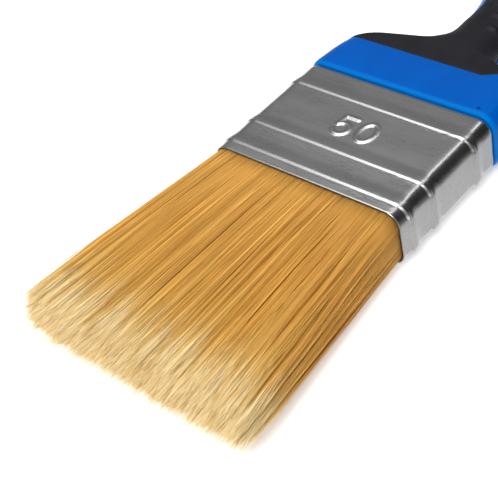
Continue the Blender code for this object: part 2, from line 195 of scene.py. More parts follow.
def grid_faces(rows, columns, wrap_rows=False, wrap_columns=False, first=0):
    """The quads between each point of a grid and the next ones along its row and its column."""
    r = np.arange(rows if wrap_rows else rows - 1)[:, None]
    c = np.arange(columns if wrap_columns else columns - 1)[None, :]
    next_r, next_c = (r + 1) % rows, (c + 1) % columns
    corners = [r * columns + c, r * columns + next_c, next_r * columns + next_c, next_r * columns + c]
    return first + np.stack([np.broadcast_to(k, (r.size, c.size)).ravel() for k in corners], axis=1)


def face_out(mesh, merge=1e-7):
    """Merges points that fell on each other and turns the closed surface's faces outwards."""
    bm = bmesh.new()
    bm.from_mesh(mesh)
    bmesh.ops.remove_doubles(bm, verts=bm.verts, dist=merge)
    bmesh.ops.recalc_face_normals(bm, faces=bm.faces)
    bm.to_mesh(mesh)
    bm.free()


def add_piece(name, mesh, material, slot, *nodes):
    """Puts a finished mesh in the scene, riding on the one body, in the place of the CAD nodes named."""
    piece = bpy.data.objects.new(name, mesh)
    bpy.context.scene.collection.objects.link(piece)
    mesh.materials.append(material)
    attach(piece, "root")
    if nodes:
        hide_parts(*nodes)
    return piece


def new_material(name):
    """A material, its shader, a short way to add a node, and a way to link two sockets. A node's inputs are
    given by name, or by number with an underscore before it, each as a value or as a socket to link."""
    material = bpy.data.materials.new(name)
    material.use_nodes = True
    tree = material.node_tree

    def node(kind, settings=(), **inputs):
        """Adds a node with these settings, and gives each of its inputs a value or a link."""
        made = tree.nodes.new(kind)
        for key, value in dict(settings).items():
            setattr(made, key, value)
        for key, value in inputs.items():
            socket = made.inputs[int(key[1:])] if key[1:].isdigit() else made.inputs[key.replace("_", " ")]
            if isinstance(value, bpy.types.NodeSocket):
                tree.links.new(value, socket)
            else:
                socket.default_value = value
        return made

    return material, tree.nodes["Principled BSDF"], node, tree.links.new


def streaks(node, scale, detail=4.0, roughness=0.6):
    """Noise on Object coordinates, stretched by a Mapping node's scale."""
    spot = node("ShaderNodeTexCoord").outputs["Object"]
    mapped = node("ShaderNodeMapping", Vector=spot, Scale=scale).outputs["Vector"]
    noise = node("ShaderNodeTexNoise", Vector=mapped, Scale=1.0, Detail=detail, Roughness=roughness)
    return noise.outputs["Fac"]


def ramp(node, value, *stops):
    """A colour ramp from pairs of a position and a colour, linear between them. A single number is a grey."""
    made = node("ShaderNodeValToRGB", Fac=value)
    band = made.color_ramp
    while len(band.elements) < len(stops):
        band.elements.new(0.5)
    for element, (position, colour) in zip(band.elements, stops):
        element.position = position
        element.color = (colour, colour, colour, 1) if isinstance(colour, (int, float)) else (*colour, 1)
    return made.outputs["Color"]


def mixed(node, share, first, second, blend="MIX"):
    """A colour, by a share of the way from the first one to the second, or with MULTIPLY to their product."""
    settings = {"data_type": "RGBA", "blend_type": blend}
    return node("ShaderNodeMix", settings, _0=share, _6=first, _7=second).outputs[2]


def rolled_steel():
    """Bright rolled strip: fine grain across the brush over soft clouds, and a painted shade line at the
    mouth's rim, where its colour is darkened.
    """
    material, shader, node, link = new_material("rolled_steel")
    grain = streaks(node, (90, 9000, 9000), 3.0)
    clouds = streaks(node, (70, 240, 240), 2.0)
    fine = node("ShaderNodeMix", {"data_type": "FLOAT"}, _0=0.45, _2=grain, _3=clouds).outputs[0]
    tone = ramp(node, fine, (0.30, (0.490, 0.490, 0.490)), (0.70, (0.555, 0.555, 0.555)))
    spot = node("ShaderNodeTexCoord").outputs["Object"]
    along = node("ShaderNodeSeparateXYZ", Vector=spot).outputs["Y"]
    # Painted shade: the rim at the mouth is darkened to a dark line, for the shadow where the steel meets the
    # filaments.
    rim_shade_share = node("ShaderNodeMapRange", Value=along, _1=MOUTH + 0.00002, _2=MOUTH + 0.00016).outputs[0]
    painted_rim_shade = (0.27, 0.265, 0.26, 1)
    link(mixed(node, rim_shade_share, painted_rim_shade, tone), shader.inputs["Base Color"])
    link(ramp(node, fine, (0.30, 0.25), (0.70, 0.31)), shader.inputs["Roughness"])
    shader.inputs["Metallic"].default_value = 1.0
    bump = node("ShaderNodeBump", Strength=0.035, Distance=0.00002, Height=grain)
    link(bump.outputs["Normal"], shader.inputs["Normal"])
    return material


def make_ferrule():
    """Outer wall, mouth rim, inner wall and rear rim as one grid that closes on itself both ways. The grid is
    finer at the pressed mark, the nicks, the seam and the beads."""
    flat = FERRULE_HALF_WIDTH - FERRULE_CORNER
    mark_x, nick_x = np.linspace(-0.0056, 0.0064, 96), np.linspace(0.0080, flat, 46)
    seam_x = np.linspace(-0.0006, 0.0006, 13)
    top_x = np.unique(np.concatenate([np.linspace(-flat, flat, 30), mark_x, nick_x]).round(6))
    bottom_x = np.unique(np.concatenate([np.linspace(-flat, flat, 40), seam_x]).round(6))
    side_z = np.linspace(-1, 1, 12) * (FERRULE_HALF_THICKNESS - FERRULE_CORNER)
    outline, normal = tube_outline(top_x, bottom_x, side_z, 18)
    bead_places = np.concatenate([np.linspace(front - 0.0010, front + 0.0016, 34) for front in BEAD_FRONTS])
    places = np.unique(np.concatenate([
        np.linspace(0.0001, FERRULE_LENGTH - 0.0001, 90), bead_places, np.linspace(0.0146, 0.0226, 64),
    ]).round(6))
    place = np.broadcast_to(places[:, None], (len(places), len(outline)))
    x = np.broadcast_to(outline[None, :, 0], place.shape)
    front_face = np.broadcast_to(normal[None, :, 1] > 0.99, place.shape)
    sideways = np.abs(normal[None, :, 0]) ** 2
    beads = bead_height(place) * (1 + (SIDE_BEAD_GAIN - 1) * sideways)
    rear_draw = smooth_step((place - FERRULE_LENGTH + REAR_DRAW_START) / REAR_DRAW_LENGTH)
    mark = np.where(front_face, mark_relief(x, place), 0)
    worn = np.where(normal[None, :, 1] > 0.5, nicks(x, place), 0)
    seam = np.exp(-((x / SEAM_WIDTH) ** 2)) * (normal[None, :, 1] < -0.99)
    out = beads - CREASE_DEPTH * sideways * crease(place) - REAR_DRAW_DEPTH * rear_draw + mark + worn
    out = out - SEAM_DEPTH * seam

    def ring(at, offset):
        """The outline at one place, moved along its normals by the offset."""
        across = outline + normal * offset
        return np.stack([across[:, 0], np.full(len(outline), at), across[:, 1]], axis=1)

    outer_x, outer_z = x + normal[None, :, 0] * out, outline[None, :, 1] + normal[None, :, 1] * out
    outer = np.stack([outer_x, place, outer_z], axis=2)
    mouth = [ring(0.006, -WALL), ring(0.00015, -WALL), ring(0.0, -0.75 * WALL), ring(0.0, -0.25 * WALL)]
    back, drawn = FERRULE_LENGTH, -0.00035
    rear = [ring(back, drawn - 0.2 * WALL), ring(back, drawn - WALL), ring(back - 0.008, drawn - WALL)]
    points = np.concatenate([np.stack(mouth), outer, np.stack(rear)])
    faces = grid_faces(len(points), len(outline), wrap_rows=True, wrap_columns=True)
    points = points.reshape(-1, 3) + (0, MOUTH, MIDDLE)
    mesh = mesh_from_arrays("ferrule_shell", points, faces)
    face_out(mesh)
    return add_piece("ferrule_shell", mesh, rolled_steel(), "ferrule_steel", "ferrule")


make_ferrule()

# ---------------------------------------------------------------------------------------------------------
# Filaments. Tapered golden polyester, packed tight in the mouth and fanned out to a blunt chisel. They cling
# together in locks with gaps between them, whose deep amber is painted shade on the deeper strands, and their
# tips are flagged into paler, finer ends. Some 26,000 thin three-sided strands, each with a flagged end, stand
# round a core that fills the middle, coloured dark as painted shade.

FREE_LENGTH = 0.0556
PARTINGS = 64
HIDDEN_BUTT = 0.0018
BUNDLE_HALF_WIDTH = FERRULE_HALF_WIDTH - WALL - 0.00030
BUNDLE_HALF_THICKNESS = FERRULE_HALF_THICKNESS - WALL - 0.0001
BUNDLE_CORNER = FERRULE_CORNER - WALL
OUTER_DEPTH = 0.0017
OUTERMOST_DEPTH = 0.00006
OUTER_SPACING, INNER_SPACING = 0.000135, 0.000165
OUTER_SHARES = np.array([0, 0.1, 0.25, 0.42, 0.58, 0.72, 0.84, 0.93, 1])
INNER_SHARES = np.array([0.5, 0.66, 0.8, 0.91, 1])
FAN_WIDER, FAN_THINNER, FAN_LEAN, FAN_SAG = 0.257, 0.67, 0.0009, 0.00075
WISP_COUNT, LOCK_COUNT = 2600, 230
STRAND_RADIUS = 0.000085
FLAG_RADII = (0.000048, 0.000036, 0.000013)
PIECE_TRIANGLES, TRIANGLES_PER_SPAN = 190000, 6.3
BANKS = ("rear", "middle", "front")
draw = np.random.default_rng(50)


def depth_inside(x, z):
    """Distance from a point inside the bundle to its outline, a rounded rectangle, and negative outside it."""
    over_x = np.abs(x) - (BUNDLE_HALF_WIDTH - BUNDLE_CORNER)
    over_z = np.abs(z) - (BUNDLE_HALF_THICKNESS - BUNDLE_CORNER)
    beyond = np.hypot(np.maximum(over_x, 0), np.maximum(over_z, 0))
    return BUNDLE_CORNER - beyond - np.minimum(np.maximum(over_x, over_z), 0)


def jittered_roots(spacing):
    """Roots on a grid of this spacing, each moved at random by up to two fifths of a step."""
    nx, nz = int(2 * BUNDLE_HALF_WIDTH / spacing), int(2 * BUNDLE_HALF_THICKNESS / spacing)
    x, z = np.meshgrid((np.arange(nx) - (nx - 1) / 2) * spacing, (np.arange(nz) - (nz - 1) / 2) * spacing)
    x = x.ravel() + draw.uniform(-0.42, 0.42, x.size) * spacing
    z = z.ravel() + draw.uniform(-0.42, 0.42, z.size) * spacing
    return x, z


def fan(x, z, s):
    """Where a root at x, z has come to at share s of the free length. x grows as a power of s, z shrinks in
    the rear half as another, and both lean over, towards -X and down, by an amount times a power of s."""
    wide = 1 + FAN_WIDER * s**1.05
    thin = 1 - FAN_THINNER * s**1.75 * (z < 0)
    return x * wide - FAN_LEAN * s**0.7, z * thin - FAN_SAG * s**2


def parted(line_x, x, z, s):
    """Gaps at random places, more and wider to the right. Each opens over a stretch of the length, as a bell
    along it, and pushes the strands on either side away by an exponential of their distance from it."""
    push = np.zeros_like(line_x)
    for _ in range(PARTINGS):
        middle_x = BUNDLE_HALF_WIDTH * (2 * draw.random() ** 0.65 - 1)
        middle_s, reach = draw.uniform(0.25, 0.74), draw.uniform(0.13, 0.27)
        side = draw.choice([-1, 1], p=[0.35, 0.65])
        away = x[:, None] - middle_x - draw.normal(0, 0.0006) * (s - middle_s)
        on_this_side = smooth_step(1.6 * side * z / BUNDLE_HALF_THICKNESS)[:, None]
        bell = np.exp(-(((s - middle_s) / reach) ** 2)) * on_this_side
        to_the_right = smooth_step(2 * middle_x / BUNDLE_HALF_WIDTH - 0.5)
        opening = draw.uniform(0.00006, 0.00019) * (1 + 2.0 * to_the_right)
        push += np.sign(away) * opening * bell * np.exp(-np.abs(away) / 0.0006)
    return line_x + push


def nearest(points_x, points_z, seeds_x, seeds_z, squeeze):
    """The number of the nearest seed to each point, with distances along z counted squeeze times."""
    found = np.zeros(len(points_x), int)
    for low in range(0, len(points_x), 4000):
        part = slice(low, low + 4000)
        gap = (points_x[part, None] - seeds_x) ** 2 + (squeeze * (points_z[part, None] - seeds_z)) ** 2
        found[part] = gap.argmin(axis=1)
    return found


def clumps(x, z, count, squeeze):
    """For each root, the number of the nearest of some random seeds, and that seed's distance in x and in z."""
    seeds_x = draw.uniform(-BUNDLE_HALF_WIDTH, BUNDLE_HALF_WIDTH, count)
    seeds_z = draw.uniform(-BUNDLE_HALF_THICKNESS, BUNDLE_HALF_THICKNESS, count)
    mine = nearest(x, z, seeds_x, seeds_z, squeeze)
    return mine, seeds_x[mine] - x, seeds_z[mine] - z


def trimmed_lengths(x, z, lock_drift):
    """The free length, less a square of z, less a seventh power of x, with a random share more or less."""
    trim = 1 - 0.036 * (z / BUNDLE_HALF_THICKNESS) ** 2
    trim -= np.where(x < 0, 0.036, 0.008) * np.abs(x / BUNDLE_HALF_WIDTH) ** 7
    length = FREE_LENGTH * trim * (1.000 + 0.017 * draw.normal(0, 1, len(x)) + 0.006 * lock_drift[:, 0])
    return length * (1 - 0.12 * draw.random(len(x)) ** 3)


def strand_lines(x, z, shares):
    """Middle lines of strands and a shade for each. A line is fanned out, drawn towards its wisp and its lock,
    moved by drifts that grow along it, bowed by half a sine wave, and then parted from its neighbours."""
    wisp, wisp_x, wisp_z = clumps(x, z, WISP_COUNT, 1.0)
    lock, lock_x, lock_z = clumps(x, z, LOCK_COUNT, 0.55)
    wisp_drift = draw.normal(0, 1, (WISP_COUNT, 2))[wisp]
    lock_drift = draw.normal(0, 1, (LOCK_COUNT, 2))[lock]
    own_drift = draw.normal(0, 1, (len(x), 2))
    length = trimmed_lengths(x, z, lock_drift)
    s = shares[None, :]
    fan_x, fan_z = fan(x[:, None], z[:, None], s)
    loose_edge = smooth_step((x / BUNDLE_HALF_WIDTH - 0.62) / 0.36)[:, None]
    pull_lock = draw.uniform(0.03, 0.13, len(x))[:, None] * smooth_step((s - 0.04) / 0.60)
    pull_lock = pull_lock + 0.26 * loose_edge * smooth_step((s - 0.3) / 0.7)
    pull_wisp = 0.17 * smooth_step((s - 0.08) / 0.50)
    line_x = fan_x + lock_x[:, None] * pull_lock + wisp_x[:, None] * pull_wisp
    line_z = fan_z + 0.6 * lock_z[:, None] * pull_lock + 0.6 * wisp_z[:, None] * pull_wisp
    line_x += s * (0.00022 * lock_drift[:, :1] + 0.00016 * wisp_drift[:, :1] + 0.00026 * own_drift[:, :1])
    line_z += s * (0.00016 * lock_drift[:, 1:] + 0.00014 * wisp_drift[:, 1:] + 0.00018 * own_drift[:, 1:])
    bow = draw.normal(0, 0.00012, (len(x), 2))
    line_x += np.sin(np.pi * s) * bow[:, :1]
    line_z += np.sin(np.pi * s) * bow[:, 1:] * 0.6
    line_x = parted(line_x, x, z, s)
    shade = 0.5 + 0.07 * draw.normal(0, 1, WISP_COUNT)[wisp] + 0.13 * draw.normal(0, 1, len(x))
    shade += 0.04 * draw.normal(0, 1, LOCK_COUNT)[lock]
    line_y = -length[:, None] * s + HIDDEN_BUTT * (1 - s)
    return np.stack([line_x, line_y, line_z], axis=2), shade


def strand_mesh(name, lines, shares, radius, shade, depth):
    """Strands: round each point of each line, three points a third of a turn apart, and a cap at both ends.
    They carry how far along they are, their shade and how deep in the bundle they stand as attributes."""
    count, steps = lines.shape[:2]
    start = draw.uniform(0, 2 * math.pi, count)
    angle = start[:, None] + np.arange(3)[None, :] * (2 * math.pi / 3)
    ring = np.stack([np.cos(angle), np.zeros_like(angle), np.sin(angle)], axis=2)
    points = lines[:, :, None, :] + radius[:, :, None, None] * ring[:, None, :, :]
    quads = grid_faces(steps, 3, wrap_columns=True)[:, ::-1]
    first = (np.arange(count) * steps * 3)[:, None, None]
    quads = (first + quads[None]).reshape(-1, 4)
    last = 3 * (steps - 1)
    caps = np.array([[0, 1, 2], [last + 2, last + 1, last]])
    caps = (first + caps[None]).reshape(-1, 3)
    mesh = mesh_from_arrays(name, points.reshape(-1, 3) + (0, MOUTH, MIDDLE), quads, caps)
    spread_out = np.ones((1, steps, 3))
    carried = {"along": shares[:, :, None], "shade": shade[:, None, None], "deep": depth[:, None, None]}
    for label, values in carried.items():
        attribute = mesh.attributes.new(label, "FLOAT", "POINT")
        attribute.data.foreach_set("value", np.ascontiguousarray(values * spread_out, np.float32).ravel())
    return mesh


def golden_filament():
    """Polyester filament: amber by the ferrule, golden along its length and pale at its flagged end. Each one
    has its own random tone, and the deeper ones are coloured darker and more amber as painted shade, which
    fades out towards the tips."""
    material, shader, node, link = new_material("golden_filament")
    along = node("ShaderNodeAttribute", {"attribute_name": "along"}).outputs["Fac"]
    shade = node("ShaderNodeAttribute", {"attribute_name": "shade"}).outputs["Fac"]
    deep = node("ShaderNodeAttribute", {"attribute_name": "deep"}).outputs["Fac"]
    product_plus = {"operation": "MULTIPLY_ADD"}
    bleached = node("ShaderNodeMath", product_plus, _0=shade, _1=0.36, _2=-0.18).outputs[0]
    paleness = node("ShaderNodeMath", product_plus, _0=along, _1=bleached, _2=along).outputs[0]
    body = ramp(
        node, paleness,
        (0.00, (0.70, 0.390, 0.092)), (0.50, (0.76, 0.43, 0.098)), (0.74, (0.83, 0.51, 0.125)),
        (0.89, (0.92, 0.64, 0.21)), (1.00, (0.98, 0.81, 0.45)),
    )
    tone = ramp(node, shade, (0.10, (0.66, 0.56, 0.42)), (0.50, 1.0), (0.95, (1.15, 1.22, 1.45)))
    loose = ramp(node, along, (0.02, 0.35), (0.30, 1.0))
    toned = mixed(node, loose, body, tone, "MULTIPLY")
    # Painted shade: the deeper a strand stands in the bundle, the darker and more amber it is coloured, for the
    # shade among the strands; the share fades out towards the tips.
    gap = ramp(node, deep, (0.0, 1.0), (0.25, (0.95, 0.82, 0.60)), (1.0, (0.76, 0.50, 0.24)))
    depth_shade_share = ramp(node, along, (0.80, 1.0), (1.00, 0.25))
    link(mixed(node, depth_shade_share, toned, gap, "MULTIPLY"), shader.inputs["Base Color"])
    link(ramp(node, along, (0.6, 0.42), (0.95, 0.6)), shader.inputs["Roughness"])
    shader.inputs["Specular IOR Level"].default_value = 0.25
    return material


def make_filaments():
    """Outer strands run from the mouth, inner ones only come out of the core, and each has a flagged end. A
    bank is a third of the thickness, in as many pieces as keep each under the triangle limit."""
    filament = golden_filament()
    kinds = (("outer", OUTER_SPACING, OUTER_SHARES), ("inner", INNER_SPACING, INNER_SHARES))
    groups = []
    for kind, spacing, shares in kinds:
        x, z = jittered_roots(spacing)
        depth = depth_inside(x, z)
        keep = (depth > OUTERMOST_DEPTH) & (depth < OUTER_DEPTH) if kind == "outer" else depth >= OUTER_DEPTH
        groups.append((kind, x[keep], z[keep], depth[keep], shares))
    third = 2 * BUNDLE_HALF_THICKNESS / 3
    for kind, x, z, depth, shares in groups:
        lines, shade = strand_lines(x, z, shares)
        along = np.broadcast_to(shares, lines.shape[:2])
        girth = 1.14 - 0.14 * smooth_step(along / 0.3) - 0.55 * along**2.2
        radius = STRAND_RADIUS * girth * draw.uniform(0.85, 1.15, len(x))[:, None]
        deep = np.clip(depth / OUTER_DEPTH, 0, 1)
        bank = np.clip(((z + BUNDLE_HALF_THICKNESS) / third).astype(int), 0, 2)
        for number, bank_name in enumerate(BANKS):
            mine = np.flatnonzero(bank == number)
            triangles = len(mine) * (len(shares) - 1) * TRIANGLES_PER_SPAN
            parts = max(1, math.ceil(triangles / PIECE_TRIANGLES))
            for part in range(parts):
                own = mine[part::parts]
                name = f"{bank_name}_{kind}_filaments_{part + 1}"
                mesh = strand_mesh(name, lines[own], along[own], radius[own], shade[own], deep[own])
                add_piece(name, mesh, filament, "filament", f"{bank_name}_filament_bank")
        make_flags(kind, lines, shade, bank, filament)


def make_flags(kind, lines, shade, bank, filament):
    """A fine pale end beside each strand. It leaves the strand near its tip, along the strand's last way plus
    a small random splay, and bends a little."""
    count = len(lines)
    from_tip = draw.uniform(0.06, 0.20, count)
    last, before = lines[:, -1], lines[:, -3]
    way = last - before
    way /= np.linalg.norm(way, axis=1, keepdims=True)
    start = last - way * (from_tip * FREE_LENGTH)[:, None]
    loose = np.where(draw.random(count) < 0.03, 3.5, 1.0)[:, None]
    splay = draw.normal(0, 0.026, (count, 3)) * (1, 0, 1) * loose
    end = start + (way + splay) * ((from_tip + draw.normal(0.004, 0.020, count)) * FREE_LENGTH)[:, None]
    middle = 0.5 * (start + end) - 0.125 * splay * (from_tip * FREE_LENGTH)[:, None]
    flag_lines = np.stack([start, middle, end], axis=1)
    along = np.stack([1 - from_tip, 1 - from_tip / 2, np.ones(count)], axis=1)
    radius = np.array(FLAG_RADII)[None, :] * np.ones((count, 1))
    paler, at_surface = shade + 0.1, np.zeros(count)
    for number, bank_name in enumerate(BANKS):
        own = np.flatnonzero(bank == number)
        name = f"{bank_name}_{kind}_flagged_ends"
        mesh = strand_mesh(name, flag_lines[own], along[own], radius[own], paler[own], at_surface[own])
        add_piece(name, mesh, filament, "filament", f"{bank_name}_filament_bank")


def make_filament_core():
    """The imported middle: a rounded box section, set in from the bundle's outline, carried along the fan and
    closed at both ends. Its section is powers of the angle's cosine and sine."""
    rows, columns = 14, 72
    shares = np.linspace(0.0, 0.80, rows)
    angle = np.linspace(0, 2 * math.pi, columns, endpoint=False)
    inset = OUTER_DEPTH * 0.75
    wide, thick = BUNDLE_HALF_WIDTH - inset, BUNDLE_HALF_THICKNESS - inset
    x = wide * np.sign(np.cos(angle)) * np.abs(np.cos(angle)) ** 0.25
    z = thick * np.sign(np.sin(angle)) * np.abs(np.sin(angle)) ** 0.45
    s = shares[:, None]
    fan_x, fan_z = fan(x[None, :], z[None, :], s)
    slim = 1 - 0.35 * smooth_step((s - 0.45) / 0.35)
    y = np.broadcast_to(-FREE_LENGTH * s + HIDDEN_BUTT * (1 - s), fan_x.shape)
    points = np.stack([fan_x * (1 - 0.08 * smooth_step((s - 0.4) / 0.4)), y, fan_z * slim], axis=2)
    quads = grid_faces(rows, columns, wrap_columns=True)
    caps = np.stack([np.arange(columns)[::-1], np.arange(columns) + (rows - 1) * columns])
    mesh = mesh_from_arrays("filament_core", points.reshape(-1, 3) + (0, MOUTH, MIDDLE), quads, caps)
    face_out(mesh)
    material, shader, node, link = new_material("packed_filament_painted_shade")
    fibres = streaks(node, (4000, 60, 4000), 3.0)
    # Painted shade: the core is coloured a dark amber, far darker than the strands, for the shade deep inside
    # the bundle.
    colour = ramp(node, fibres, (0.3, (0.30, 0.13, 0.02)), (0.7, (0.50, 0.25, 0.05)))
    link(colour, shader.inputs["Base Color"])
    shader.inputs["Roughness"].default_value = 0.7
    add_piece("filament_core", mesh, material, "filament", "middle_filament_bank")


make_filaments()
make_filament_core()

# ---------------------------------------------------------------------------------------------------------
# Spacers and resin. Two strips of pressed board part the filaments inside the mouth, and set resin behind
# them holds every butt. Their solids are the right shape already, so only their finish is given here.


def dress(node_name, material):
    """Gives a carried-over solid a new finish in each of its material slots."""
    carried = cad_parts[node_name]
    if not carried.material_slots:
        carried.data.materials.append(material)
    for holder in carried.material_slots:
        holder.material = material


def pressed_board():
    """Grey-brown board: short dark and pale fibres lying in all directions."""
    material, shader, node, link = new_material("pressed_board")
    fibres = streaks(node, (900, 2600, 2600), 5.0)
    colour = ramp(node, fibres, (0.35, (0.21, 0.15, 0.09)), (0.65, (0.42, 0.33, 0.22)))
    link(colour, shader.inputs["Base Color"])
    shader.inputs["Roughness"].default_value = 0.85
    bump = node("ShaderNodeBump", Strength=0.4, Distance=0.00005, Height=fibres)
    link(bump.outputs["Normal"], shader.inputs["Normal"])
    return material


def amber_resin():
    """Set resin: glossy amber, clouded where it soaked in among the butts."""
    material, shader, node, link = new_material("amber_resin")
    clouds = streaks(node, (700, 500, 700), 4.0)
    colour = ramp(node, clouds, (0.35, (0.26, 0.14, 0.03)), (0.65, (0.52, 0.36, 0.14)))
    link(colour, shader.inputs["Base Color"])
    link(ramp(node, clouds, (0.35, 0.12), (0.65, 0.30)), shader.inputs["Roughness"])
    return material


board = pressed_board()
dress("front_spacer", board)
dress("rear_spacer", board)
dress("resin_set", amber_resin())

# ---------------------------------------------------------------------------------------------------------
# Handle core. Hard blue polypropylene, moulded in one: a tang glued into the ferrule, a shoulder with a
# rounded lip over the ferrule's end, a slim neck, and a grip with a round hole that the brush hangs on.

# Place, half width, half thickness, the two half axes of the section's round corners, how far the section's
# middle hangs below the brush's middle plane, and how far it is set over towards +X.
HANDLE_STATIONS = np.array([
    (0.0350, 0.0253, 0.00740, 0.0038, 0.0037, 0.0, 0.0),
    (0.0375, 0.0251, 0.00740, 0.0038, 0.0037, 0.0, 0.0),
    (0.0460, 0.0242, 0.00700, 0.0040, 0.0038, 0.0, 0.0),
    (0.0485, 0.0236, 0.00690, 0.0044, 0.0041, 0.0, 0.0),
    (0.0508, 0.0212, 0.00670, 0.0048, 0.0043, 0.0, 0.0),
    (0.0530, 0.0168, 0.00650, 0.0052, 0.0044, 0.0002, 0.0002),
    (0.0554, 0.0119, 0.00630, 0.0056, 0.0047, 0.0005, 0.0005),
    (0.0592, 0.0089, 0.00585, 0.0062, 0.0050, 0.00075, 0.0010),
    (0.0700, 0.0074, 0.00530, 0.0066, 0.0049, 0.0007, 0.0014),
    (0.0840, 0.0092, 0.00610, 0.0082, 0.0057, 0.0003, 0.0010),
    (0.1020, 0.0125, 0.00710, 0.0112, 0.0066, 0.0, 0.0003),
    (0.1180, 0.0136, 0.00735, 0.0122, 0.0068, 0.0, 0.0),
    (0.1380, 0.0126, 0.00690, 0.0112, 0.0062, 0.0, 0.0),
    (0.1600, 0.0107, 0.00580, 0.0094, 0.0050, 0.0, 0.0),
    (0.1740, 0.0101, 0.00520, 0.0088, 0.0044, 0.0, 0.0),
])
HANDLE_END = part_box("handle_core")[1].y - MOUTH
END_ROUND = HANDLE_END - HANDLE_STATIONS[-1, 0]
LIP_START, LIP_LENGTH, LIP_DROP = 0.0343, 0.0018, 0.00055
TANG_START, TANG_INSET, TANG_CORNER = 0.0160, 0.00105, 0.0026
GRIP_START, GRIP_END, GRIP_ROUND = 0.0467, 0.1610, 0.0090
GRIP_CORNER_CUT = (0.0140, 0.0200, 0.0506)
RECESS_DEPTH = 0.0019
HOLE_PLACE = HANDLE_END - 0.0125
HOLE_RADIUS, HOLE_FLARE, HOLE_HALF_DEPTH = 0.0045, 0.0009, 0.0054
FLECK_X, FLECK_PLACE, FLECK_HEIGHT = 0.0202, 0.0362, 0.0074


def handle_section(place):
    """Half width, half thickness, corner half axes, drop and shift at each place: cubics through the stations
    whose slopes are the stations' own, an elliptical end, and a quarter ellipse for the lip."""
    places, table = HANDLE_STATIONS[:, 0], HANDLE_STATIONS[:, 1:]
    slopes = np.gradient(table, places, axis=0)
    i = np.clip(np.searchsorted(places, place) - 1, 0, len(places) - 2)
    span = (places[i + 1] - places[i])[:, None]
    t = np.clip((place - places[i])[:, None] / span, 0, 1)
    values = (2 * t**3 - 3 * t**2 + 1) * table[i] + (3 * t**2 - 2 * t**3) * table[i + 1]
    values += span * ((t**3 - 2 * t**2 + t) * slopes[i] + (t**3 - t**2) * slopes[i + 1])
    shrink = np.sqrt(1 - np.clip((place - places[-1]) / END_ROUND, 0, 0.9999) ** 2)
    into_lip = np.clip((LIP_START + LIP_LENGTH - place) / LIP_LENGTH, 0, 1)
    lip = LIP_DROP * (1 - np.sqrt(1 - into_lip**2))
    half_width = values[:, 0] * shrink - lip
    half_thickness = values[:, 1] * (0.4 + 0.6 * shrink) - lip
    corner_x, corner_z = np.minimum(values[:, 2], half_width), np.minimum(values[:, 3], half_thickness)
    return half_width, half_thickness, corner_x, corner_z, values[:, 4], values[:, 5]


def handle_skin(x, section, side):
    """Distance from the middle plane and unit normal of the front skin (side 1) or the rear one (-1) at x:
    flat in the middle, with a quarter ellipse at each corner."""
    half_width, half_thickness, corner_x, corner_z, drop, shift = (value[:, None] for value in section)
    from_middle = x - side * shift
    over = np.clip((np.abs(from_middle) - half_width + corner_x) / corner_x, 0, 1)
    rise = np.sqrt(1 - over**2)
    normal = np.stack([np.sign(from_middle) * over / corner_x, rise / corner_z], axis=2)
    normal /= np.linalg.norm(normal, axis=2, keepdims=True)
    return half_thickness - side * drop - corner_z * (1 - rise), normal


def grip_edges(place, half_width, middle):
    """Left and right edges of a recess. They are a share of the half width, which rises over the shoulder and
    falls along the neck by a smooth step, times a quarter ellipse at the round end. One corner is cut."""
    share = 0.965 + 0.0335 * smooth_step((place - 0.0500) / 0.0070)
    share = share - 0.3385 * smooth_step((place - 0.0632) / 0.0140)
    into_end = np.clip((place - GRIP_END + GRIP_ROUND) / GRIP_ROUND, 0, 1)
    edge = half_width * share
    edge = edge * np.sqrt(np.maximum(1 - into_end**2, 0.03))
    cut, cut_end, cut_place = GRIP_CORNER_CUT
    along_cut = np.maximum(place - GRIP_START, 0) / (cut_place - GRIP_START)
    return middle - edge, np.minimum(middle + edge, cut + (cut_end - cut) * along_cut)


def half_skin(place, section, side, depth, panel_columns):
    """Half of each ring, right to left, for the front or the rear. The panel between the grip's edges is set
    in by depth along the skin's normal, with doubled columns that make its walls."""
    half_width, half_thickness, corner_x, corner_z, drop, shift = section
    middle = side * shift
    left, right = grip_edges(place, half_width, middle)
    share = 0.5 - 0.5 * np.cos(np.linspace(0, math.pi, panel_columns))
    panel = right[:, None] + (left - right)[:, None] * share
    start = half_width - corner_x

    def shoulder(edge, sign):
        """From the panel's edge out to the widest point: straight to the corner, then round its ellipse."""
        reach = sign * (edge - middle)
        begin = np.maximum(reach, start)
        flat = reach[:, None] + (begin - reach)[:, None] * np.linspace(0, 1, 5)[None, :]
        first = np.arcsin(np.clip((begin - start) / corner_x, 0, 1))[:, None]
        angle = first + (math.pi / 2 - first) * np.linspace(0, 1, 10)[None, 1:]
        round_x = start[:, None] + corner_x[:, None] * np.sin(angle)
        x = middle[:, None] + sign * np.concatenate([flat, round_x], axis=1)
        bend = (half_thickness - side * drop - corner_z)[:, None] + corner_z[:, None] * np.cos(angle)
        return x, np.concatenate([handle_skin(x[:, :5], section, side)[0], bend], axis=1)

    right_x, right_z = shoulder(right, 1)
    left_x, left_z = shoulder(left, -1)
    panel_z, normal = handle_skin(panel, section, side)
    set_in = depth[:, None] * np.ones(panel_columns)
    x = np.concatenate([right_x[:, ::-1], panel - normal[:, :, 0] * set_in, left_x], axis=1)
    z = np.concatenate([right_z[:, ::-1], panel_z - normal[:, :, 1] * set_in, left_z], axis=1)
    return x, z


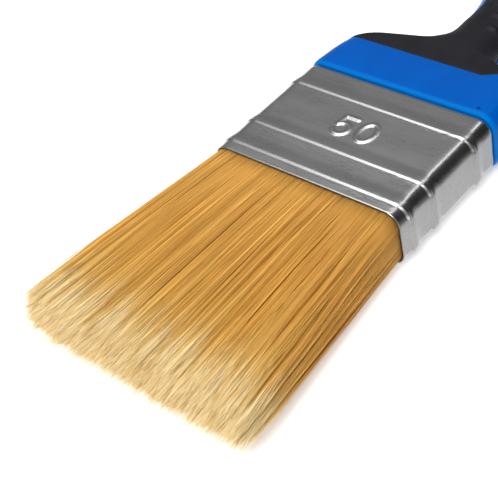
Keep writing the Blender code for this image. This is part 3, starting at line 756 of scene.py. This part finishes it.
def moulded_blue():
    """Blue plastic with a fine even spark texture from its mould. It is painted paler along the lip, a painted
    highlight where the lip's rounded edge catches the light, and one dark fleck is caught in its skin."""
    material, shader, node, link = new_material("moulded_blue")
    texture = streaks(node, (5200, 5200, 5200), 2.0)
    clouds = streaks(node, (90, 60, 90), 2.0)
    tint = ramp(node, clouds, (0.35, (0.0, 0.079, 0.390)), (0.65, (0.0, 0.087, 0.425)))
    spot = node("ShaderNodeTexCoord").outputs["Object"]
    along = node("ShaderNodeSeparateXYZ", Vector=spot).outputs["Y"]
    # Painted highlight: the lip is coloured a paler blue, for the light its rounded edge catches.
    beyond_lip_highlight = node("ShaderNodeMapRange", Value=along, _1=MOUTH + 0.0349, _2=MOUTH + 0.0357).outputs[0]
    lip_highlighted = mixed(node, beyond_lip_highlight, (0.0, 0.130, 0.47, 1), tint)
    fleck = (FLECK_X, MOUTH + FLECK_PLACE, MIDDLE + FLECK_HEIGHT)
    away = node("ShaderNodeVectorMath", {"operation": "DISTANCE"}, _0=spot, _1=fleck).outputs["Value"]
    near = node("ShaderNodeMapRange", Value=away, _1=0.00020, _2=0.00058, _3=0.9, _4=0.0).outputs[0]
    link(mixed(node, near, lip_highlighted, (0.0, 0.012, 0.06, 1)), shader.inputs["Base Color"])
    link(ramp(node, texture, (0.3, 0.30), (0.7, 0.38)), shader.inputs["Roughness"])
    shader.inputs["Specular IOR Level"].default_value = 0.20
    shader.inputs["Specular Tint"].default_value = (0.0, 0.60, 1.0, 1)
    bump = node("ShaderNodeBump", Strength=0.10, Distance=0.00002, Height=texture)
    link(bump.outputs["Normal"], shader.inputs["Normal"])
    return material


def round_hole(mesh):
    """Cuts the hanging hole with a peg whose radius flares out by a quarter circle at each rim."""
    columns = 64
    z = np.concatenate([[-0.012], np.linspace(-HOLE_HALF_DEPTH, HOLE_HALF_DEPTH, 41), [0.012]])
    flare = np.clip((np.abs(z) - HOLE_HALF_DEPTH + HOLE_FLARE) / HOLE_FLARE, 0, 1)
    radius = (HOLE_RADIUS + HOLE_FLARE * (1 - np.sqrt(1 - flare**2)))[:, None]
    angle = np.linspace(0, 2 * math.pi, columns, endpoint=False)[None, :]
    height = np.broadcast_to(z[:, None], (len(z), columns))
    points = np.stack([radius * np.cos(angle), HOLE_PLACE + radius * np.sin(angle), height], axis=2)
    caps = np.stack([np.arange(columns)[::-1], np.arange(columns) + columns * (len(z) - 1)])
    faces = grid_faces(len(z), columns, wrap_columns=True)
    peg_mesh = mesh_from_arrays("peg", points.reshape(-1, 3) + (0, MOUTH, MIDDLE), faces, caps)
    face_out(peg_mesh)
    peg = bpy.data.objects.new("peg", peg_mesh)
    blank = bpy.data.objects.new("blank", mesh)
    for part in (peg, blank):
        bpy.context.scene.collection.objects.link(part)
    cut = blank.modifiers.new("hole", "BOOLEAN")
    cut.operation, cut.solver, cut.object = "DIFFERENCE", "EXACT", peg
    bpy.context.view_layer.update()
    holed = bpy.data.meshes.new_from_object(blank.evaluated_get(bpy.context.evaluated_depsgraph_get()))
    for part in (peg, blank):
        bpy.data.objects.remove(part)
    return holed


def make_handle_core():
    """Tang, step, lip, shoulder, neck and grip as rings of one closed grid. The rear half of each ring is made
    as a front half is, and turned half round the brush's length. Doubled rings make the recess's end walls."""
    places = np.concatenate([
        LIP_START + LIP_LENGTH * (1 - np.cos(np.linspace(0, math.pi / 2, 15))),
        np.arange(0.0366, GRIP_START - 0.0002, 0.0006), [GRIP_START, GRIP_START],
        np.arange(GRIP_START + 0.0004, 0.0660, 0.0004), np.arange(0.0662, GRIP_END - 0.0100, 0.0011),
        GRIP_END - GRIP_ROUND * (1 - np.sin(np.linspace(0, math.pi / 2, 14))), [GRIP_END],
        np.arange(GRIP_END + 0.0008, HANDLE_STATIONS[-1, 0], 0.0010),
        HANDLE_STATIONS[-1, 0] + END_ROUND * np.sin(np.linspace(0, math.pi / 2, 26)),
    ])
    numbers = np.arange(len(places))
    first = np.flatnonzero(places == GRIP_START)[1]
    last = np.flatnonzero(places == GRIP_END)[0]
    depth = np.where((numbers >= first) & (numbers <= last), RECESS_DEPTH, 0.0)
    section = handle_section(places)
    tang_size = (FERRULE_HALF_WIDTH - TANG_INSET, FERRULE_HALF_THICKNESS - TANG_INSET)
    tang = np.array([*tang_size, TANG_CORNER, TANG_CORNER, 0, 0])
    tang_places = np.array([TANG_START, TANG_START + 0.0006, LIP_START])
    tang_inset = np.array([0.0006, 0.0, 0.0])[:, None] * (1, 1, 0, 0, 0, 0)
    section = [np.concatenate([t, s]) for t, s in zip((tang - tang_inset).T, section)]
    places = np.concatenate([tang_places, places])
    depth = np.concatenate([np.zeros(3), depth])
    front_x, front_z = half_skin(places, section, 1, depth, 48)
    rear_x, rear_z = half_skin(places, section, -1, depth, 48)
    ring_x = np.concatenate([front_x, -rear_x], axis=1)
    ring_z = np.concatenate([front_z, -rear_z], axis=1)
    ring_y = np.broadcast_to(places[:, None], ring_x.shape)
    points = np.stack([ring_x, ring_y, ring_z], axis=2)
    # The tang's end closes to a point, and the far end to an upright line.
    points = np.concatenate([points[:1] * (0, 1, 0), points, points[-1:] * (0, 1, 1)])
    faces = grid_faces(*points.shape[:2], wrap_columns=True)
    mesh = mesh_from_arrays("handle_core", points.reshape(-1, 3) + (0, MOUTH, MIDDLE), faces)
    face_out(mesh, 2e-6)
    mesh = round_hole(mesh)
    mesh.materials.clear()
    mesh.shade_smooth()
    mesh.set_sharp_from_angle(angle=math.radians(38))
    add_piece("moulded_handle_core", mesh, moulded_blue(), "blue_plastic", "handle_core")


make_handle_core()

# ---------------------------------------------------------------------------------------------------------
# Soft grips. Black thermoplastic rubber moulded into the core's two recesses: a little proud, with rounded
# edges, cross ribs on the neck for the fingers, and two small round marks left by the mould's pins.

GRIP_THICKNESS = 0.0016
GRIP_SEAM = 0.00006
GRIP_EDGE_ROUND = 0.00045
GRIP_PROUD = 0.00007
RIB_FIRST, RIB_PITCH, RIB_COUNT, RIB_HEIGHT, RIB_SET_OVER = 0.0662, 0.0046, 5, 0.00055, 0.0030
PIN_MARKS = ((-0.0056, 0.0490), (-0.0002, 0.0493))
PIN_MARK_HEIGHT, PIN_MARK_RADIUS, PIN_MARK_FALL = 0.00014, 0.00035, 0.00020


def rib_height(x, place):
    """Rounded ridges across the neck: a raised cosine along the brush, times a smooth step that fades out
    before each side. They get longer towards the grip, and the first ones are set over to one side."""
    number = np.clip(np.round((place - RIB_FIRST) / RIB_PITCH), 0, RIB_COUNT - 1)
    away = np.abs(place - RIB_FIRST - number * RIB_PITCH)
    along = 0.5 + 0.5 * np.cos(np.pi * np.clip(away / 0.0012, 0, 1))
    middle = RIB_SET_OVER * (1 - smooth_step((place - RIB_FIRST) / 0.0100))
    reach = np.minimum(0.0040, 0.0016 + 0.0010 * number)
    return RIB_HEIGHT * along * smooth_step((reach - np.abs(x - middle)) / 0.0010)


def pin_mark_height(x, place):
    """Low round pads, each the same height over its radius and then a short smooth fall."""
    height = np.zeros_like(x)
    for mark_x, mark_place in PIN_MARKS:
        from_middle = np.hypot(x - mark_x, place - mark_place)
        height += PIN_MARK_HEIGHT * (1 - smooth_step((from_middle - PIN_MARK_RADIUS) / PIN_MARK_FALL))
    return height


def soft_black():
    """Matt black rubber: a fine grain all over, and slightly greyer where it has been handled."""
    material, shader, node, link = new_material("soft_black")
    grain = streaks(node, (6500, 6500, 6500), 3.0)
    worn = streaks(node, (160, 90, 160), 3.0)
    colour = ramp(node, worn, (0.35, (0.0075, 0.0068, 0.0100)), (0.70, (0.0125, 0.0118, 0.0160)))
    link(colour, shader.inputs["Base Color"])
    link(ramp(node, grain, (0.3, 0.56), (0.7, 0.72)), shader.inputs["Roughness"])
    shader.inputs["Specular IOR Level"].default_value = 0.24
    bump = node("ShaderNodeBump", Strength=0.25, Distance=0.00003, Height=grain)
    link(bump.outputs["Normal"], shader.inputs["Normal"])
    return material


def make_grip(name, side, material):
    """An outer sheet on the handle's skin and an inner one below it, joined round their edges. The outer one
    drops by a quarter circle at its edges. Both x and z change sign with side, which turns a grip over."""
    rounding = GRIP_EDGE_ROUND * (1 - np.cos(np.linspace(0, math.pi / 2, 7)))
    places = np.concatenate([
        GRIP_START + rounding, np.arange(GRIP_START + 0.0008, 0.0655, 0.00033),
        np.arange(0.0655, 0.0900, 0.00022), np.arange(0.0908, GRIP_END - GRIP_ROUND, 0.0010),
        GRIP_END - GRIP_ROUND * (1 - np.sin(np.linspace(0, math.radians(80), 22))),
        GRIP_END - rounding[::-1],
    ])
    section = handle_section(places)
    left, right = grip_edges(places, section[0], side * section[5])
    left, right = left + GRIP_SEAM, right - GRIP_SEAM
    place = places[:, None] + np.where(places < GRIP_START + 0.001, GRIP_SEAM, 0)[:, None]
    span = (right - left)[:, None]
    from_edge = np.minimum(rounding[None, :], span / 4)
    inner_span = span - 2 * from_edge[:, -1:]
    middle = left[:, None] + from_edge[:, -1:] + inner_span * np.linspace(0, 1, 54)[None, 1:-1]
    x = np.concatenate([left[:, None] + from_edge, middle, right[:, None] - from_edge[:, ::-1]], axis=1)
    place = place + np.zeros_like(x)
    ends = np.minimum(place - place[0, 0], place[-1, 0] - place)
    margin = np.minimum(np.minimum(x - left[:, None], right[:, None] - x), ends)
    lack = 1 - np.clip(margin / GRIP_EDGE_ROUND, 0, 1)
    drop = GRIP_EDGE_ROUND * (1 - np.sqrt(1 - lack**2))
    top, normal = handle_skin(x, section, side)
    ribs = rib_height(x - side * section[5][:, None], place)
    proud = GRIP_PROUD + ribs + pin_mark_height(x, place) - 0.75 * drop
    normal_x, normal_z = normal[:, :, 0], normal[:, :, 1]
    outer = np.stack([x + normal_x * proud, place, top + normal_z * proud], axis=2)
    inner = np.stack([x - normal_x * GRIP_THICKNESS, place, top - normal_z * GRIP_THICKNESS], axis=2)
    rows, columns = x.shape
    count = rows * columns
    number = np.arange(count).reshape(rows, columns)
    rim = np.concatenate([number[0, :-1], number[:-1, -1], number[-1, :0:-1], number[:0:-1, 0]])
    after = np.roll(rim, -1)
    rim_faces = np.stack([rim, after, after + count, rim + count], axis=1)
    outer_faces, inner_faces = grid_faces(rows, columns), grid_faces(rows, columns, first=count)[:, ::-1]
    faces = np.concatenate([outer_faces, inner_faces, rim_faces])
    points = np.concatenate([outer.reshape(-1, 3), inner.reshape(-1, 3)]) * (side, 1, side)
    mesh = mesh_from_arrays(name, points + (0, MOUTH, MIDDLE), faces)
    face_out(mesh)
    mesh.set_sharp_from_angle(angle=math.radians(50))
    add_piece(f"soft_{name}", mesh, material, "black_soft_grip", name)


black = soft_black()
make_grip("front_grip", 1, black)
make_grip("rear_grip", -1, black)

# ---------------------------------------------------------------------------------------------------------
# Floor, light and camera. A bright table, three soft lights, and a card lying to the right of the brush, which
# darkens away from it. The ferrule's narrow face and rounded corner mirror the card as a dark band.

AIM = (-0.00216, MOUTH - 0.01662, MIDDLE)
CAMERA_DISTANCE, CAMERA_AZIMUTH, CAMERA_ELEVATION, CAMERA_ROLL = 0.25666, 50.55, 42.21, -14.56
LENS = 89.16


def make_floor():
    """A matt table, 8 m square, that glows a little, so that it is bright and its shadows are soft."""
    material, shader = new_material("pale_table")[:2]
    shader.inputs["Base Color"].default_value = (0.80, 0.80, 0.80, 1)
    shader.inputs["Roughness"].default_value = 0.9
    shader.inputs["Specular IOR Level"].default_value = 0.0
    shader.inputs["Emission Color"].default_value = (1, 1, 1, 1)
    shader.inputs["Emission Strength"].default_value = 0.42
    corner = np.array([[-1, -1, 0], [1, -1, 0], [1, 1, 0], [-1, 1, 0]]) * 4.0
    mesh = mesh_from_arrays("floor", corner - (0, 0, 0.0002), np.array([[0, 1, 2, 3]]))
    floor = bpy.data.objects.new("floor", mesh)
    bpy.context.scene.collection.objects.link(floor)
    mesh.materials.append(material)


def make_world():
    """A plain studio room: grey walls, and a dark patch beyond the brush's right. The camera sees white."""
    world = bpy.data.worlds.new("studio")
    bpy.context.scene.world = world
    world.use_nodes = True
    tree = world.node_tree
    tree.nodes.clear()
    way = tree.nodes.new("ShaderNodeTexCoord").outputs["Generated"]
    dot = tree.nodes.new("ShaderNodeVectorMath")
    dot.operation = "DOT_PRODUCT"
    dot.inputs[1].default_value = Vector((0.66, 0.60, 0.45)).normalized()
    tree.links.new(way, dot.inputs[0])
    band = tree.nodes.new("ShaderNodeValToRGB")
    tree.links.new(dot.outputs["Value"], band.inputs["Fac"])
    for element, (position, grey) in zip(band.color_ramp.elements, ((0.72, 0.22), (0.84, 0.02))):
        element.position = position
        element.color = (grey, grey, grey, 1)
    seen = tree.nodes.new("ShaderNodeLightPath").outputs["Is Camera Ray"]
    mix = tree.nodes.new("ShaderNodeMix")
    mix.data_type = "RGBA"
    tree.links.new(seen, mix.inputs[0])
    tree.links.new(band.outputs["Color"], mix.inputs[6])
    mix.inputs[7].default_value = (1, 1, 1, 1)
    background = tree.nodes.new("ShaderNodeBackground")
    tree.links.new(mix.outputs[2], background.inputs["Color"])
    out = tree.nodes.new("ShaderNodeOutputWorld")
    tree.links.new(background.outputs["Background"], out.inputs["Surface"])


def add_soft_light(name, spot, aim, width, depth, power):
    """A rectangular light at a spot, turned to face its aim, with its power in watts."""
    light = bpy.data.lights.new(name, "AREA")
    light.shape, light.size, light.size_y, light.energy = "RECTANGLE", width, depth, power
    lamp = bpy.data.objects.new(name, light)
    bpy.context.scene.collection.objects.link(lamp)
    lamp.location = spot
    lamp.rotation_euler = (Vector(aim) - Vector(spot)).to_track_quat("-Z", "Y").to_euler()


def make_flag(name, corners):
    """A card flat on the table, grey near the brush and nearly black away from it. It shows only where
    something mirrors it."""
    material, shader, node, link = new_material(name)
    spot = node("ShaderNodeTexCoord").outputs["Object"]
    across = node("ShaderNodeSeparateXYZ", Vector=spot).outputs["X"]
    share = node("ShaderNodeMapRange", Value=across, _1=0.025, _2=0.085).outputs[0]
    grey = ramp(node, share, (0.0, 0.64), (0.13, 0.62), (0.24, 0.46), (0.40, 0.22), (0.75, 0.09))
    link(grey, shader.inputs["Base Color"])
    shader.inputs["Roughness"].default_value = 1.0
    shader.inputs["Specular IOR Level"].default_value = 0.0
    points = np.array([(x, y, 0.00005) for x, y in corners])
    mesh = mesh_from_arrays(name, points, np.array([[0, 1, 2, 3]]))
    flag = bpy.data.objects.new(name, mesh)
    bpy.context.scene.collection.objects.link(flag)
    mesh.materials.append(material)
    flag.visible_camera = flag.visible_diffuse = flag.visible_shadow = False


def make_camera():
    """The camera looks at AIM from an azimuth and an elevation, turned about its own axis by the roll."""
    a, e, r = (math.radians(v) for v in (CAMERA_AZIMUTH, CAMERA_ELEVATION, CAMERA_ROLL))
    back = Vector((math.sin(a) * math.cos(e), -math.cos(a) * math.cos(e), math.sin(e)))
    level = Vector((math.cos(a), math.sin(a), 0))
    right = math.cos(r) * level + math.sin(r) * back.cross(level)
    up = back.cross(right)
    camera = bpy.data.objects.new("camera", bpy.data.cameras.new("camera"))
    bpy.context.scene.collection.objects.link(camera)
    turn = Matrix((right, up, back)).transposed().to_4x4()
    camera.matrix_world = Matrix.Translation(Vector(AIM) + back * CAMERA_DISTANCE) @ turn
    camera.data.lens = LENS
    camera.data.clip_start = 0.01
    bpy.context.scene.camera = camera


make_floor()
make_world()
add_soft_light("overhead_softbox", (-0.18, 0.11, 0.62), (-0.18, 0.11, 0), 0.44, 0.28, 1.25)
add_soft_light("edge_strip", (0.06, 0.42, 0.60), (0.02, 0.0, 0), 0.10, 0.26, 0.25)
add_soft_light("front_fill", (0.13, -0.38, 0.60), (0, -0.08, 0), 0.50, 0.50, 5.7)
make_flag("side_flag", ((0.0262, -0.070), (0.70, -0.070), (0.70, 0.60), (0.0262, 0.60)))
make_camera()
bpy.context.scene.view_settings.view_transform = "Standard"
